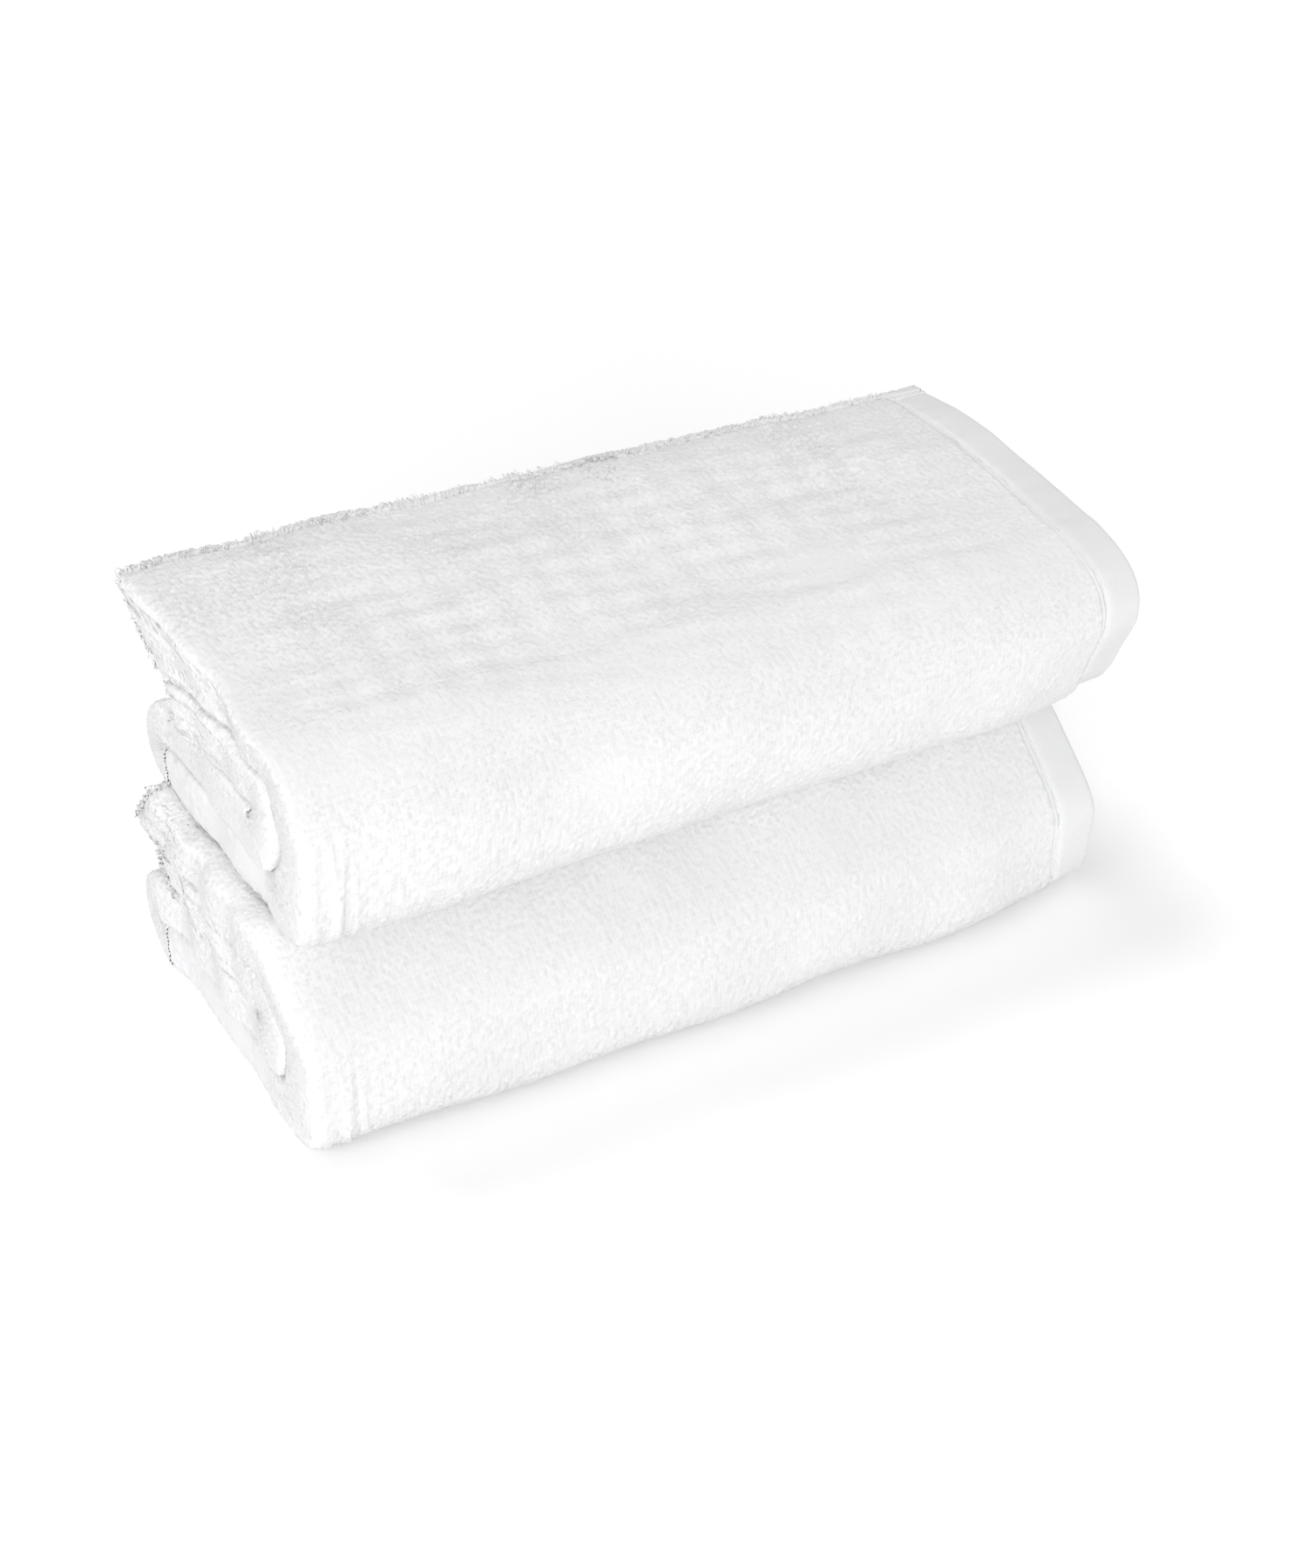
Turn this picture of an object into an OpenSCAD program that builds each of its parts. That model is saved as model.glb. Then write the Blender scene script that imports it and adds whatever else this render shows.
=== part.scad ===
// Two terry bath towels, each folded to a packet and stacked.
// Each towel is folded in half twice along its length, which makes a turn of four plies, and that
// turn is folded in half twice across its width. X runs along the packet, the end hems are at its
// +X end, the open front fold faces -Y and the stack stands on the plane Z = 0.

/* [Cloth] */
// Thickness of one ply of terry as it lies in the packet, pile included
ply_t = 4.85; // [3:0.05:6]
// Width of the flat-woven end hem
hem_w = 20; // [12:1:30]
// Thickness of a turned hem
hem_t = 3; // [2:0.1:3.6]
// Width of the narrow side hem
side_hem_w = 9; // [6:0.5:14]
// Thickness of the sewing thread
thread_t = 0.6; // [0.4:0.1:1]

/* [Folded packet] */
// Length of a folded packet, a quarter of the towel's length
packet_l = 350; // [300:5:400]
// Depth of the lower packet, from front fold to back
packet_d = 170; // [150:2:220]
// How much shallower the upper packet is
upper_less = 12; // [0:1:16]
// How far the upper towel lies towards +X of the lower one
upper_dx = 8; // [0:1:14]
// How far the upper towel lies towards -Y of the lower one
upper_dy = 1; // [0:1:6]

/* [Hidden] */
$fn = 64;

terry_colour = [0.95, 0.95, 0.96];
hem_colour = [0.90, 0.90, 0.92];
thread_colour = [0.82, 0.82, 0.85];

ply_gap = 0.3;                    // air between two plies, and between two turns
ply_pitch = ply_t + ply_gap;
turn_t = 4 * ply_pitch;           // four plies make a turn, and four turns make a packet
leaf_t = 2 * turn_t;              // the packet's lower half or upper half
packet_t = 4 * turn_t;

half_turn_t = 1.5 * ply_pitch + ply_t / 2;  // from a turn's middle to its outer face

x_left = -packet_l / 2;           // the end with the closed folds
x_right = packet_l / 2;           // the end with the hems
x_bend = x_left + half_turn_t;    // centre of the folds at the closed end
x_inner_fold = x_right - 3 - ply_pitch;  // centre of the one fold at the hem end
x_pile_end = x_right - hem_w;     // where the pile stops and the hem starts
second_hem_back = 1.5;            // the second hem lies this far behind the first
thread_in = 2.5;                  // from the hem's inner edge to its line of stitches

y_fold = -packet_d / 2 + 1.5 * turn_t + half_turn_t;  // axis of the front fold
$less = 0;                        // how much shallower than packet_d the packet being drawn is
function y_edge() = packet_d / 2 - $less;       // the loose side edges
function y_back() = y_edge() - turn_t;          // axis of the back fold
function y_side_hem() = y_edge() - side_hem_w;
function y_thread() = y_side_hem() + thread_in; // the side hem's line of stitches
flap_gap = 0.3;                   // clearance between the flap and what stays when it opens

// The four turns' heights in a packet, from the bottom: outer, inner, inner, outer
z_outer_bottom = turn_t / 2;
z_inner_bottom = 1.5 * turn_t;
z_fold = leaf_t;
z_inner_top = 2.5 * turn_t;
z_outer_top = 3.5 * turn_t;
r_outer = 1.5 * turn_t;           // middle of the outer turn, from the front fold's axis
r_inner = turn_t / 2;             // middle of the inner turn, and of the back fold

// ---- Cross sections: X along the packet, Y through a turn, outer face of the cloth towards +Y ----

module half_ring(x, y, r, t, side) {
    reach = r + t;
    translate([x, y]) intersection() {
        difference() {
            circle(r + t / 2);
            circle(r - t / 2);
        }
        translate([side < 0 ? -reach : 0, -reach]) square([reach, 2 * reach]);
    }
}

module ply(level, from_x, to_x, t) {
    translate([from_x, level * ply_pitch - t / 2]) square([to_x - from_x, t]);
}

// One continuous cloth folded in four: hem end, closed end, hem end, closed end, hem end.
module four_plies(t, first_end, second_end) {
    ply(1.5, x_bend, first_end, t);
    half_ring(x_bend, 0, 1.5 * ply_pitch, t, -1);
    ply(-1.5, x_bend, x_inner_fold, t);
    half_ring(x_inner_fold, -ply_pitch, 0.5 * ply_pitch, t, 1);
    ply(-0.5, x_bend, x_inner_fold, t);
    half_ring(x_bend, 0, 0.5 * ply_pitch, t, -1);
    ply(0.5, x_bend, second_end, t);
}

module terry_section() {
    four_plies(ply_t, x_pile_end, x_pile_end - second_hem_back);
}

module side_hem_section() {
    four_plies(hem_t, x_right, x_right - second_hem_back);
}

// A thread shows as a low ridge on both faces of the hem that it sews.
module side_thread_section() {
    difference() {
        four_plies(hem_t + thread_t, x_right - thread_in, x_right - second_hem_back - thread_in);
        four_plies(hem_t, x_right, x_right);
    }
}

// which is 0 for the first end hem, outermost, and 1 for the second, under it.
module end_hem_section(which) {
    hem_end = x_right - which * second_hem_back;
    level = 1.5 - which;
    edge_r = hem_t / 2;
    ply(level, hem_end - hem_w, hem_end - edge_r, hem_t);
    translate([hem_end - edge_r, level * ply_pitch]) intersection() {
        circle(edge_r);
        translate([0, -hem_t]) square([hem_t, 2 * hem_t]);
    }
}

module end_thread_section(which) {
    thread_x = x_right - which * second_hem_back - hem_w + thread_in;
    for (face = [-1, 1])
        translate([thread_x, (1.5 - which) * ply_pitch + face * (hem_t + thread_t / 2) / 2])
            square([thread_t, thread_t / 2], center = true);
}

// ---- Runs: a section carried straight across the packet, or round one of its folds ----

module straight_run(from_y, to_y, z, outer_face_up) {
    translate([0, to_y, z]) rotate([90, 0, 0]) linear_extrude(height = to_y - from_y)
        mirror([0, outer_face_up ? 0 : 1]) children();
}

module half_turn(y, r, outer_face_out) {
    translate([0, y, 0]) rotate([0, 90, 180]) rotate_extrude(angle = 180)
        translate([r, 0]) rotate(-90) mirror([0, outer_face_out ? 0 : 1]) children();
}

module outer_bottom() {
    straight_run(y_fold, y_back(), z_outer_bottom, false) children();
}

module inner_bottom() {
    straight_run(y_fold, y_back(), z_inner_bottom, true) children();
}

module inner_top(from_y, to_y) {
    straight_run(from_y, to_y, z_inner_top, false) children();
}

module outer_top(from_y, to_y) {
    straight_run(from_y, to_y, z_outer_top, true) children();
}

module outer_front() {
    translate([0, 0, z_fold]) half_turn(y_fold, r_outer, true) children();
}

module inner_front() {
    translate([0, 0, z_fold]) half_turn(y_fold, r_inner, false) children();
}

module back() {
    translate([0, 0, turn_t]) mirror([0, 1, 0]) half_turn(-y_back(), r_inner, true) children();
}

// A hem or thread is one strip that follows the cloth from one side hem to the other.
module strip_bottom() {
    outer_bottom() children();
    back() children();
    inner_bottom() children();
}

module strip_front() {
    outer_front() children();
    inner_front() children();
}

module strip_top(gap) {
    outer_top(y_fold + gap, y_side_hem()) children();
    inner_top(y_fold + gap, y_side_hem()) children();
}

module whole_strip() {
    strip_bottom() children();
    strip_front() children();
    strip_top(0) children();
}

// ---- The two towels' places. Half a gap puts the lowest ply on Z = 0. ----

centre_x = upper_dx / 2;
centre_y = upper_dy / 2;

module lower_place() {
    translate([-centre_x, centre_y, -ply_gap / 2]) children();
}

module upper_place() {
    $less = upper_less;
    translate([centre_x, -centre_y, packet_t - ply_gap / 2]) children();
}

// ---- Nodes ----

module outer_bottom_panel() { color(terry_colour) outer_bottom() terry_section(); }
module inner_bottom_panel() { color(terry_colour) inner_bottom() terry_section(); }
module outer_top_panel(gap) { color(terry_colour) outer_top(y_fold + gap, y_side_hem()) terry_section(); }
module inner_top_panel(gap) { color(terry_colour) inner_top(y_fold + gap, y_side_hem()) terry_section(); }
module outer_front_fold() { color(terry_colour) outer_front() terry_section(); }
module inner_front_fold() { color(terry_colour) inner_front() terry_section(); }
module back_fold() { color(terry_colour) back() terry_section(); }
module first_side_hem() { color(terry_colour) outer_top(y_side_hem(), y_edge()) side_hem_section(); }
module second_side_hem() { color(terry_colour) inner_top(y_side_hem(), y_edge()) side_hem_section(); }

module first_side_hem_thread() {
    color(thread_colour) outer_top(y_thread(), y_thread() + thread_t) side_thread_section();
}

module second_side_hem_thread() {
    color(thread_colour) inner_top(y_thread(), y_thread() + thread_t) side_thread_section();
}

module end_hem(which) { color(hem_colour) whole_strip() end_hem_section(which); }
module end_hem_bottom(which) { color(hem_colour) strip_bottom() end_hem_section(which); }
module end_hem_front(which) { color(hem_colour) strip_front() end_hem_section(which); }
module end_hem_top(which) { color(hem_colour) strip_top(flap_gap) end_hem_section(which); }
module end_thread(which) { color(thread_colour) whole_strip() end_thread_section(which); }
module end_thread_bottom(which) { color(thread_colour) strip_bottom() end_thread_section(which); }
module end_thread_front(which) { color(thread_colour) strip_front() end_thread_section(which); }
module end_thread_top(which) { color(thread_colour) strip_top(flap_gap) end_thread_section(which); }

lower_place() outer_bottom_panel();  // lower_outer_bottom_panel
lower_place() outer_front_fold();  // lower_outer_front_fold
lower_place() outer_top_panel(0);  // lower_outer_top_panel
lower_place() inner_bottom_panel();  // lower_inner_bottom_panel
lower_place() inner_front_fold();  // lower_inner_front_fold
lower_place() inner_top_panel(0);  // lower_inner_top_panel
lower_place() back_fold();  // lower_back_fold
lower_place() end_hem(0);  // lower_first_end_hem
lower_place() end_hem(1);  // lower_second_end_hem
lower_place() end_thread(0);  // lower_first_end_hem_thread
lower_place() end_thread(1);  // lower_second_end_hem_thread
lower_place() first_side_hem();  // lower_first_side_hem
lower_place() second_side_hem();  // lower_second_side_hem
lower_place() first_side_hem_thread();  // lower_first_side_hem_thread
lower_place() second_side_hem_thread();  // lower_second_side_hem_thread

upper_place() outer_bottom_panel();  // upper_outer_bottom_panel
upper_place() inner_bottom_panel();  // upper_inner_bottom_panel
upper_place() back_fold();  // upper_back_fold
upper_place() end_hem_bottom(0);  // upper_first_end_hem_bottom
upper_place() end_hem_bottom(1);  // upper_second_end_hem_bottom
upper_place() end_thread_bottom(0);  // upper_first_end_hem_thread_bottom
upper_place() end_thread_bottom(1);  // upper_second_end_hem_thread_bottom
upper_place() outer_front_fold();  // upper_outer_front_fold
upper_place() inner_front_fold();  // upper_inner_front_fold
upper_place() end_hem_front(0);  // upper_first_end_hem_front
upper_place() end_hem_front(1);  // upper_second_end_hem_front
upper_place() end_thread_front(0);  // upper_first_end_hem_thread_front
upper_place() end_thread_front(1);  // upper_second_end_hem_thread_front
upper_place() outer_top_panel(flap_gap);  // upper_outer_top_panel
upper_place() inner_top_panel(flap_gap);  // upper_inner_top_panel
upper_place() end_hem_top(0);  // upper_first_end_hem_top
upper_place() end_hem_top(1);  // upper_second_end_hem_top
upper_place() end_thread_top(0);  // upper_first_end_hem_thread_top
upper_place() end_thread_top(1);  // upper_second_end_hem_thread_top
upper_place() first_side_hem();  // upper_first_side_hem
upper_place() second_side_hem();  // upper_second_side_hem
upper_place() first_side_hem_thread();  // upper_first_side_hem_thread
upper_place() second_side_hem_thread();  // upper_second_side_hem_thread
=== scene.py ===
"""Two folded terry bath towels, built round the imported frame."""
import bpy
import math
import numpy as np
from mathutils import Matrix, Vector


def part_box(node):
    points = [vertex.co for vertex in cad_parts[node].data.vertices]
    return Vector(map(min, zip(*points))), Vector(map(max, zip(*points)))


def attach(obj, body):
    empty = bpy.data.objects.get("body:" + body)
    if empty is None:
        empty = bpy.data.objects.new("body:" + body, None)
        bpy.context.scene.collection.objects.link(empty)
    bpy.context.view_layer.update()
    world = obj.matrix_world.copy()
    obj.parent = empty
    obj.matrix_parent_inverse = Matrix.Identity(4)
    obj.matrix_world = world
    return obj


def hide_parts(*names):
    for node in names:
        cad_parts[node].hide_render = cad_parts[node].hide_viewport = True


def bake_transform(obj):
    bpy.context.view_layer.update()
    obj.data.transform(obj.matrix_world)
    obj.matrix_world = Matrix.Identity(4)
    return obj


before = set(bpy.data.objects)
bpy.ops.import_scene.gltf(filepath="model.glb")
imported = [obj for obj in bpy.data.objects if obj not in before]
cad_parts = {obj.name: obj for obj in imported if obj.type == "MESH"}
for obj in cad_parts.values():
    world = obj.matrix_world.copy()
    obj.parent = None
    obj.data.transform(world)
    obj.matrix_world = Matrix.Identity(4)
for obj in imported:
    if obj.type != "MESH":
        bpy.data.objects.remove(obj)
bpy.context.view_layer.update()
scene = bpy.context.scene
bpy.ops.object.select_all(action="DESELECT")

# ---------------------------------------------------------------- Driving dimensions, in metres
PILE_PITCH = 0.00162      # from one loop to the next
PILE_RISE = 0.0013        # from the bottom of the pile's gaps to the top of a loop
PILE_PROUD = 0.0003       # how far the tips of the loops stand out of the CAD's ply
PILE_FROM_EDGE = 0.0028   # the pile covers a side hem up to here
GROUND_H = 0.0012         # half the woven ground, where the pile is a piece of its own
PRESSED_H = 0.0023        # half a ply where its pile is pressed flat between two others
HEM_H = 0.0015            # half a turned hem
HEMMED_H = 0.0006         # half the cloth inside a hem
CLOTH_INSET = 0.0012      # the cloth stops this far inside the turned edge of a hem
END_INSET = 0.0008        # a side hem stops this far inside the towel's ends
STITCH = 0.0032           # one stitch of the hems' sewing
THREAD_IN = 0.0025        # the sewing's place, from a hem's inner edge
THREAD_R = 0.00028
YARN_R = 0.00020          # the yarn of a loop that stands out of the pile

# The packet's measures, from the frame
lower_bottom_lo, lower_bottom_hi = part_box("lower_outer_bottom_panel")
upper_bottom_lo, upper_bottom_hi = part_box("upper_outer_bottom_panel")
end_hem_lo, end_hem_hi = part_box("lower_first_end_hem")
side_hem_lo, side_hem_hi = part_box("lower_first_side_hem")

PACKET_T = upper_bottom_lo.z - lower_bottom_lo.z     # one towel's height, 16 plies
PLY = PACKET_T / 16
TURN = 4 * PLY
PLY_T = (lower_bottom_hi.z - lower_bottom_lo.z) - 3 * PLY
PACKET_L = end_hem_hi.x - lower_bottom_lo.x
PACKET_D = side_hem_hi.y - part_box("lower_outer_front_fold")[0].y
HEM_W = end_hem_hi.x - end_hem_lo.x
SIDE_HEM_W = side_hem_hi.y - side_hem_lo.y
OUTER_HALF = 1.5 * PLY + PLY_T / 2
PILE_TOP = PLY_T / 2 + PILE_PROUD

X_LEFT = -PACKET_L / 2
X_RIGHT = PACKET_L / 2
X_BEND = X_LEFT + OUTER_HALF
SECOND_HEM_BACK = 0.0015  # the hidden end hem lies this far behind the first
INNER_BEND_BACK = 0.003   # and the fold between them this far
X_INNER_BEND = X_RIGHT - INNER_BEND_BACK - PLY
Y_FRONT = -PACKET_D / 2
Y_FOLD = Y_FRONT + 1.5 * TURN + OUTER_HALF
Z_FOLD = 2 * TURN
FRONT_REACH = 0.065       # how far back the front fold's own shaping reaches
FALL_Y = (-0.075, 0.065)  # the packets slope down to the front between these places
FLOOR_GAP = 0.00005       # nothing lies lower than this
RUNS = ("outer_top", "outer_front", "outer_bottom", "back_fold", "inner_bottom", "inner_front", "inner_top")
PLIES = ("a1", "left_fold", "a2", "right_fold", "b1", "inner_left_fold", "b2")


def smooth(a, b, x):
    """Rises softly from 0 at a to 1 at b."""
    t = np.clip((x - a) / (b - a), 0, 1)
    return t * t * (3 - 2 * t)


def ripple(x, y, waves):
    """A smooth uneven surface: waves are (across x, across y, phase, height)."""
    total = 0.0
    for kx, ky, phase, height in waves:
        total = total + height * np.sin(kx * x + ky * y + phase)
    return total


def random_waves(rng, count, shortest, longest, height, drawn_out=1.0):
    """Waves of random direction and length whose sum is about height high. drawn_out is how much
    longer they are across x than across y."""
    waves = []
    for _ in range(count):
        length = rng.uniform(shortest, longest)
        angle = rng.uniform(0, math.pi)
        k = 2 * math.pi / length
        waves.append((k * math.cos(angle) / drawn_out, k * math.sin(angle), rng.uniform(0, 2 * math.pi),
                      height / math.sqrt(count)))
    return waves


# ---------------------------------------------------------------- How the cloth is folded

class Path:
    """Straight stretches and half turns, end to end, in a plane."""

    def __init__(self, start, heading):
        self.parts = []
        self.point = np.array(start, float)
        self.heading = heading
        self.length = 0.0

    def straight(self, length):
        self.parts.append(("straight", self.length, length, self.point.copy(), self.heading, 0.0))
        self.point = self.point + length * np.array([math.cos(self.heading), math.sin(self.heading)])
        self.length += length
        return self

    def half_turn(self, radius, side):
        """side is 1 to turn left and -1 to turn right."""
        left = self.heading + side * math.pi / 2
        centre = self.point + radius * np.array([math.cos(left), math.sin(left)])
        self.parts.append(("turn", self.length, math.pi * radius, centre, self.heading, side * radius))
        self.point = 2 * centre - self.point
        self.heading += side * math.pi
        self.length += math.pi * radius
        return self

    def named(self, names):
        """Where each part starts and ends."""
        return {name: (p[1], p[1] + p[2]) for name, p in zip(names, self.parts)}

    def at(self, s):
        """Points along the path, and the direction on the right of its heading."""
        s = np.clip(np.asarray(s, float), 0, self.length)
        a = np.zeros_like(s)
        b = np.zeros_like(s)
        na = np.zeros_like(s)
        nb = np.zeros_like(s)
        for kind, start, length, origin, heading, radius in self.parts:
            here = (s >= start - 1e-12) & (s <= start + length + 1e-12)
            d = s[here] - start
            if kind == "straight":
                a[here] = origin[0] + d * math.cos(heading)
                b[here] = origin[1] + d * math.sin(heading)
                angle = np.full_like(d, heading)
            else:
                angle = heading + d / radius
                a[here] = origin[0] + radius * np.sin(angle)
                b[here] = origin[1] - radius * np.cos(angle)
            na[here] = np.sin(angle)
            nb[here] = -np.cos(angle)
        return a, b, na, nb


def path_across(y_edge):
    """Across the towel, in the plane of Y and Z: the outer turn, the back fold and the inner turn.
    The outer face of the cloth is on the right of the heading."""
    y_back = y_edge - TURN
    path = Path((y_edge, 3.5 * TURN), math.pi)
    path.straight(y_edge - Y_FOLD)
    path.half_turn(1.5 * TURN, 1)
    path.straight(y_back - Y_FOLD)
    path.half_turn(0.5 * TURN, 1)
    path.straight(y_back - Y_FOLD)
    path.half_turn(0.5 * TURN, -1)
    path.straight(y_edge - Y_FOLD)
    return path


# Along the towel, in the plane of X and the turn's thickness: four plies of one cloth.
along = Path((X_RIGHT, 1.5 * PLY), math.pi)
along.straight(X_RIGHT - X_BEND)
along.half_turn(1.5 * PLY, 1)
along.straight(X_INNER_BEND - X_BEND)
along.half_turn(0.5 * PLY, 1)
along.straight(X_INNER_BEND - X_BEND)
along.half_turn(0.5 * PLY, -1)
along.straight(X_RIGHT - SECOND_HEM_BACK - X_BEND)
PART = along.named(PLIES)


def pushed_square(a, b, amount, power=4):
    """Pushes a rounded fold towards a square one, where a is negative. The fold's axis is at 0, 0."""
    r = np.hypot(a, b) + 1e-9
    off_axis = np.maximum((a / r) ** power + (b / r) ** power, 1e-12)
    grow = 1 + amount * (off_axis ** (-1 / power) - 1)
    grow = np.where(a < 0, grow, 1.0)
    return a * grow, b * grow


# The creases at the front fold's closed end: place along the cloth from the end fold, width, height
CORNER_CREASES = ((-0.0090, 0.0011, 0.5), (-0.0052, 0.0012, 1.0), (-0.0012, 0.0012, 0.9), (0.0030, 0.0012, 0.6))

# What can shape a packet, and its values for one that isn't settled. Lengths are in metres.
UNSETTLED = {
    "front_sink": 0.0,          # share of the height that the front sinks by
    "rear_rise": 0.0,           # share of the height that the rear stands up by
    "square_foot": 0.0,         # the front fold's foot, from 0 for round to 1 for square
    "square_end": 0.0,          # the same for the folds of the closed end
    "foot": 0.0,                # how far the foot spreads to the front
    "recede": 0.0,              # how far the upper front lies back
    "recede_from": (0.0, 1.0),  # the shares of the height over which it does
    "bow": 0.0,                 # how far the front's foot bows out at mid-length
    "round_end": 0.0,           # how far the foot draws back at the hem end
    "top_wave": 0.0,            # long swells of the top
    "top_streak": 0.0,          # short drawn-out creases of the top
    "ridge": 0.0,               # the corner creases
    "outer_edge": (0.0, 0.0),   # how far in the lowest and the highest ply of the outer turn end
    "inner_edge": (0.0, 0.0),   # the same for the inner turn
    "rear_skew": 0.0,           # how much further in they end at the closed end
    "inner_left": 0.0,          # how far the inner turn is moved at the closed end
    "rear_left_reach": 0.0,     # how far the rear corner of the closed end reaches out
    "rear_left_sag": 0.0,       # how far that corner sags
    "left_low_in": 0.0,         # how far the closed end's foot draws in
    "left_droop": 0.0,          # how far the closed end's top droops
    "left_tuck": 0.0,           # how far its front foot is tucked back
    "left_hang": 0.0,           # how far its front foot hangs down
    "right_reach": 0.0,         # how far the hem end reaches out
    "end_bulge": 0.0,           # how far the hem end bulges in the middle
    "middle_lift": 0.0,         # how far the front half's middle layers lie up
}


class Towel:
    """Where each point of one folded towel lies."""

    def __init__(self, name, seed, shape, base):
        self.name = name
        self.shape = shape = {**UNSETTLED, **shape}
        self.base = base
        bottom_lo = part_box(f"{name}_outer_bottom_panel")[0]
        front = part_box(f"{name}_outer_front_fold")[0].y
        self.centre = (bottom_lo.x + PACKET_L / 2, front + PACKET_D / 2, bottom_lo.z)
        self.across = path_across(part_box(f"{name}_first_side_hem")[1].y - self.centre[1])
        self.run = self.across.named(RUNS)
        rng = np.random.default_rng(seed)
        self.top_waves = random_waves(rng, 4, 0.07, 0.12, shape["top_wave"])
        self.top_waves += random_waves(rng, 12, 0.011, 0.028, shape["top_streak"], drawn_out=0.7)
        self.front_waves = random_waves(rng, 6, 0.05, 0.14, 0.0010)
        self.end_waves = random_waves(rng, 5, 0.03, 0.09, 0.0012)
        self.ply_waves = random_waves(rng, 5, 0.04, 0.12, 0.0006)
        self.edge_waves = random_waves(rng, 4, 0.05, 0.16, 0.0018)

    def cloth(self, s, w, h):
        """s runs across the towel, w along it and h out of its outer face. Gives X, Y and Z."""
        s, w, h = np.broadcast_arrays(np.asarray(s, float), np.asarray(w, float), np.asarray(h, float))
        h = h + self.ridges(s, w)
        x, n, ax, an = along.at(w)
        x = x + h * ax
        n = n + h * an
        dx, n = pushed_square(np.minimum(x - X_BEND, 0), n, self.shape["square_end"], power=8)
        x = np.where(x < X_BEND, X_BEND + dx, x)
        left = 1 - smooth(X_LEFT, X_LEFT + 0.10, x)
        right = smooth(X_RIGHT - 0.09, X_RIGHT, x)
        x = x + left * self.left_shift(s) + right * 0.2 * ripple(s, 0 * s, self.end_waves)
        y, z, ny, nz = self.across.at(s)
        t = np.clip(z / PACKET_T, 0, 1)
        x = x + right * self.shape["end_bulge"] * (1 - smooth(0, 0.09, abs(y))) * t
        high = smooth(0.4, 0.9, t)
        x = x - self.shape["rear_left_reach"] * left * smooth(-0.01, 0.06, y) * high
        x = x + self.shape["left_low_in"] * left * (1 - high)
        x = x + self.shape["right_reach"] * smooth(0, X_RIGHT, x)
        return self.settle(x, y + n * ny - self.set_in(s, n, x), z + n * nz)

    def ridges(self, s, w):
        """Small uneven creases down the front fold, at the corner of the closed end."""
        end = PART["a1"][1]
        s0, s1 = self.run["outer_front"]
        t = (s - s0) / (s1 - s0)
        down = smooth(0.35, 0.6, t) * (1 - smooth(0.85, 1.05, t))
        total = 0.0
        for place, width, height in CORNER_CREASES:
            wander = place + 0.0012 * np.sin(90 * (s - s0) + 900 * place)
            total = total + height * np.exp(-((w - end - wander) / width) ** 2)
        return self.shape["ridge"] * down * total

    def left_shift(self, s):
        """How far each layer's closed end is moved along the towel."""
        inner = smooth(*self.run["back_fold"], s)
        return self.shape["inner_left"] * inner + ripple(s, 0 * s, self.end_waves)

    def set_in(self, s, n, x):
        """The loose side edges lie unevenly, some way in from the packet's back."""
        shape = self.shape
        s0, s1 = self.run["outer_top"]
        outer = np.clip((s1 - s) / (s1 - s0), 0, 1)
        s0, s1 = self.run["inner_top"]
        inner = np.clip((s - s0) / (s1 - s0), 0, 1)
        up = np.clip(0.5 + n / (3 * PLY), 0, 1)
        low, high = shape["outer_edge"]
        amount = outer * (low + (high - low) * up)
        low, high = shape["inner_edge"]
        amount = amount + inner * (low + (high - low) * (1 - up))
        amount = amount + (outer + inner) * ripple(x, 40 * n, self.edge_waves)
        right = smooth(X_LEFT, X_RIGHT, x)
        rear = smooth(-0.04, PACKET_D / 2, self.across.at(s)[0])
        return amount * (1 - 0.62 * right) + rear * shape["rear_skew"] * (1 - right)

    def settle(self, x, y, z):
        """The packet's own weight: the front sinks and its foot flattens, and the rear stays full."""
        shape = self.shape
        dy, dz = pushed_square(np.minimum(y - Y_FOLD, 0), np.minimum(z - Z_FOLD, 0), shape["square_foot"])
        quarter = (y < Y_FOLD) & (z < Z_FOLD)
        y = np.where(quarter, Y_FOLD + dy, y)
        z = np.where(quarter, Z_FOLD + dz, z)
        t = np.clip(z / PACKET_T, 0, 1)
        front = 1 - smooth(Y_FRONT, Y_FRONT + FRONT_REACH, y)
        foot = np.clip(1 - t / 0.43, 0, 1) ** 1.5
        y2 = y - front * shape["foot"] * foot + front * shape["recede"] * smooth(*shape["recede_from"], t)
        y2 = y2 - front * shape["bow"] * (1 - (x / X_RIGHT) ** 2) * (1 - smooth(0.3, 1.0, t))
        y2 = y2 + front * shape["round_end"] * smooth(0.6 * X_RIGHT, X_RIGHT, x) * (1 - smooth(0.1, 0.5, t))
        fall = 1 - smooth(*FALL_Y, y2)
        scale = 1 + shape["rear_rise"] - (shape["front_sink"] + shape["rear_rise"]) * fall
        rear_edge = smooth(0.03, 0.07, y)
        z = z - shape["left_droop"] * (1 - smooth(X_LEFT - 0.005, X_LEFT + 0.09, x)) * t
        corner = (1 - smooth(X_LEFT + 0.01, X_LEFT + 0.11, x)) * smooth(-0.01, 0.06, y)
        z = z - shape["rear_left_sag"] * corner * np.sin(math.pi * t) ** 1.5
        middle = smooth(X_LEFT, X_LEFT + 0.05, x) * (1 - 0.7 * smooth(0.10, 0.16, x))
        z2 = z * scale + t * ripple(x, y, self.top_waves) * (1 - 0.5 * front) * (1 - 0.6 * rear_edge) * middle
        tuck = (1 - smooth(-0.14, 0.06, x)) * (1 - smooth(0.05, 0.45, t))
        lip = (1 - smooth(-0.16, 0.02, x)) * (1 - smooth(-0.078, -0.045, y))
        z2 = z2 - shape["left_hang"] * lip * (1 - smooth(0.1, 0.6, t))
        y2 = y2 + front * shape["left_tuck"] * tuck
        y2 = y2 + front * ripple(x, z, self.front_waves) * smooth(0.05, 0.3, t)
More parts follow.
